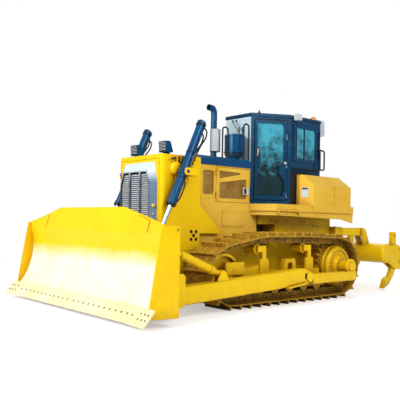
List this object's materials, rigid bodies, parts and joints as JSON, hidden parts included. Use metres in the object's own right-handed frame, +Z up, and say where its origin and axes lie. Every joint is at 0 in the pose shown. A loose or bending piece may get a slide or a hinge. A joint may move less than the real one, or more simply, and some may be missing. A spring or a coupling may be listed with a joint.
{
  "type": "crawler bulldozer",
  "caption": "Crawler bulldozer with an upswept front blade on two push arms, twin lift cylinders, enclosed cab, steel tracks and a rear parallelogram ripper.",
  "frame": {"origin": "middle of the whole machine in length and width, on the ground under the tracks", "axes": "+X forward to the blade, +Y to the machine's left, +Z up"},
  "size_m": [7.2614, 3.92, 3.347],
  "materials": {
    "yellow_paint": "gloss",
    "blue_paint": "satin",
    "glass": "clear",
    "chrome": "polished",
    "track_steel": "worn",
    "edge_paint": "satin",
    "cast_iron": "rough",
    "radiator_core": "matte",
    "seat_fabric": "woven",
    "black_plastic": "matte",
    "black_steel": "satin",
    "orange_plastic": "gloss",
    "bright_steel": "satin",
    "white_plastic": "satin",
    "lens": "clear"
  },
  "bodies": {
    "tractor": {"track_frames": "yellow_paint", "track_left": "track_steel", "track_right": "track_steel", "sprockets": "track_steel", "final_drives": "yellow_paint", "idlers": "yellow_paint", "rollers": "yellow_paint", "main_frame": "yellow_paint", "engine": "cast_iron", "radiator": "radiator_core", "radiator_guard": "yellow_paint", "hood": "yellow_paint", "hood_stripes": "blue_paint", "engine_sides": "yellow_paint", "exhaust_stack": "blue_paint", "exhaust_shield": "bright_steel", "air_precleaner": "blue_paint", "lamps": "blue_paint", "lamp_lenses": "lens", "fenders": "yellow_paint", "platform": "yellow_paint", "fuel_tank": "yellow_paint", "cab_frame": "blue_paint", "cab_roof": "blue_paint", "cab_glass": "glass", "cab_seat": "seat_fabric", "grab_rails": "black_steel", "cab_rear_unit": "white_plastic", "beacon": "orange_plastic", "work_lamps": "white_plastic", "cab_console": "black_plastic", "cylinder_yokes": "yellow_paint", "ripper_bracket": "yellow_paint"},
    "blade": {"blade": "yellow_paint", "cutting_edge": "edge_paint", "push_arms": "yellow_paint", "blade_braces": "yellow_paint", "blade_back": "yellow_paint", "blade_lugs": "yellow_paint"},
    "lift_cylinder_left": {"lift_cylinder_left": "blue_paint"},
    "lift_cylinder_right": {"lift_cylinder_right": "blue_paint"},
    "lift_rod_left": {"lift_rod_left": "chrome"},
    "lift_rod_right": {"lift_rod_right": "chrome"},
    "ripper_lower_link": {"ripper_lower_link": "yellow_paint"},
    "ripper_upper_links": {"ripper_upper_links": "yellow_paint"},
    "ripper_beam": {"ripper_beam": "yellow_paint", "ripper_shanks": "yellow_paint"},
    "ripper_cylinders": {"ripper_cylinders": "blue_paint"},
    "ripper_rods": {"ripper_rods": "chrome"},
    "cab_door_left": {"cab_door_left": "blue_paint", "cab_door_glass_left": "glass"},
    "cab_door_right": {"cab_door_right": "blue_paint", "cab_door_glass_right": "glass"},
    "engine_door_left": {"engine_door_left": "yellow_paint"},
    "engine_door_right": {"engine_door_right": "yellow_paint"},
    "grille_door": {"grille_door": "yellow_paint", "grille_slats": "black_steel"}
  },
  "joints": [
    {"name": "blade_lift", "type": "hinge", "parent": "tractor", "child": "blade", "pos_m": [-0.00068, 0, 0.45], "axis": [0, -1, 0], "range_deg": [-8.5, 17.5]},
    {"name": "lift_cylinder_swing_left", "type": "hinge", "parent": "tractor", "child": "lift_cylinder_left", "pos_m": [2.02432, 0.7, 2.067], "axis": [0, -1, 0], "range_deg": [-5.38, 10.75]},
    {"name": "lift_rod_slide_left", "type": "slide", "parent": "lift_cylinder_left", "child": "lift_rod_left", "axis": [0.4153, 0, -0.9097], "range_m": [-0.7791, 0.3794]},
    {"name": "lift_cylinder_swing_right", "type": "hinge", "parent": "tractor", "child": "lift_cylinder_right", "pos_m": [2.02432, -0.7, 2.067], "axis": [0, -1, 0], "range_deg": [-5.38, 10.75]},
    {"name": "lift_rod_slide_right", "type": "slide", "parent": "lift_cylinder_right", "child": "lift_rod_right", "axis": [0.4153, 0, -0.9097], "range_m": [-0.7791, 0.3794]},
    {"name": "ripper_lift", "type": "hinge", "parent": "tractor", "child": "ripper_lower_link", "pos_m": [-2.04068, 0, 0.64], "axis": [0, 1, 0], "range_deg": [-38, 38]},
    {"name": "ripper_upper_link_swing", "type": "hinge", "parent": "tractor", "child": "ripper_upper_links", "pos_m": [-2.13068, 0, 1.16], "axis": [0, 1, 0], "range_deg": [-38.5, 38.5]},
    {"name": "ripper_beam_level", "type": "hinge", "parent": "ripper_lower_link", "child": "ripper_beam", "pos_m": [-2.79068, 0, 0.64], "axis": [0, 1, 0], "range_deg": [-38.5, 38.5]},
    {"name": "ripper_cylinder_swing", "type": "hinge", "parent": "tractor", "child": "ripper_cylinders", "pos_m": [-2.00068, 0, 0.94], "axis": [0, -1, 0], "range_deg": [-36.97, 36.97]},
    {"name": "ripper_rod_slide", "type": "slide", "parent": "ripper_cylinders", "child": "ripper_rods", "axis": [-0.9878, 0, -0.156], "range_m": [-0.0751, 0.0751]},
    {"name": "cab_door_left", "type": "hinge", "parent": "tractor", "child": "cab_door_left", "pos_m": [-0.44624, 0.64995, 1.64], "axis": [0, 0, 1], "range_deg": [0, 100]},
    {"name": "cab_door_right", "type": "hinge", "parent": "tractor", "child": "cab_door_right", "pos_m": [-0.44624, -0.64995, 1.64], "axis": [0, 0, -1], "range_deg": [0, 100]},
    {"name": "engine_door_left", "type": "hinge", "parent": "tractor", "child": "engine_door_left", "pos_m": [1.15232, 0.516, 1.65], "axis": [0, 0, -1], "range_deg": [0, 110]},
    {"name": "engine_door_right", "type": "hinge", "parent": "tractor", "child": "engine_door_right", "pos_m": [1.15232, -0.516, 1.65], "axis": [0, 0, 1], "range_deg": [0, 110]},
    {"name": "grille_door", "type": "hinge", "parent": "tractor", "child": "grille_door", "pos_m": [2.34432, -0.503, 1], "axis": [0, 0, 1], "range_deg": [-45, 0]}
  ],
  "couplings": [
    {"joint": "lift_cylinder_swing_left", "follows": "blade_lift", "ratio": 0.59704},
    {"joint": "lift_rod_slide_left", "follows": "blade_lift", "m_per_rad": -2.5442},
    {"joint": "lift_cylinder_swing_right", "follows": "blade_lift", "ratio": 0.59704},
    {"joint": "lift_rod_slide_right", "follows": "blade_lift", "m_per_rad": -2.5442},
    {"joint": "ripper_upper_link_swing", "follows": "ripper_lift", "ratio": 1},
    {"joint": "ripper_beam_level", "follows": "ripper_lift", "ratio": -1},
    {"joint": "ripper_cylinder_swing", "follows": "ripper_lift", "ratio": -0.96497},
    {"joint": "ripper_rod_slide", "follows": "ripper_lift", "m_per_rad": -0.11021}
  ]
}
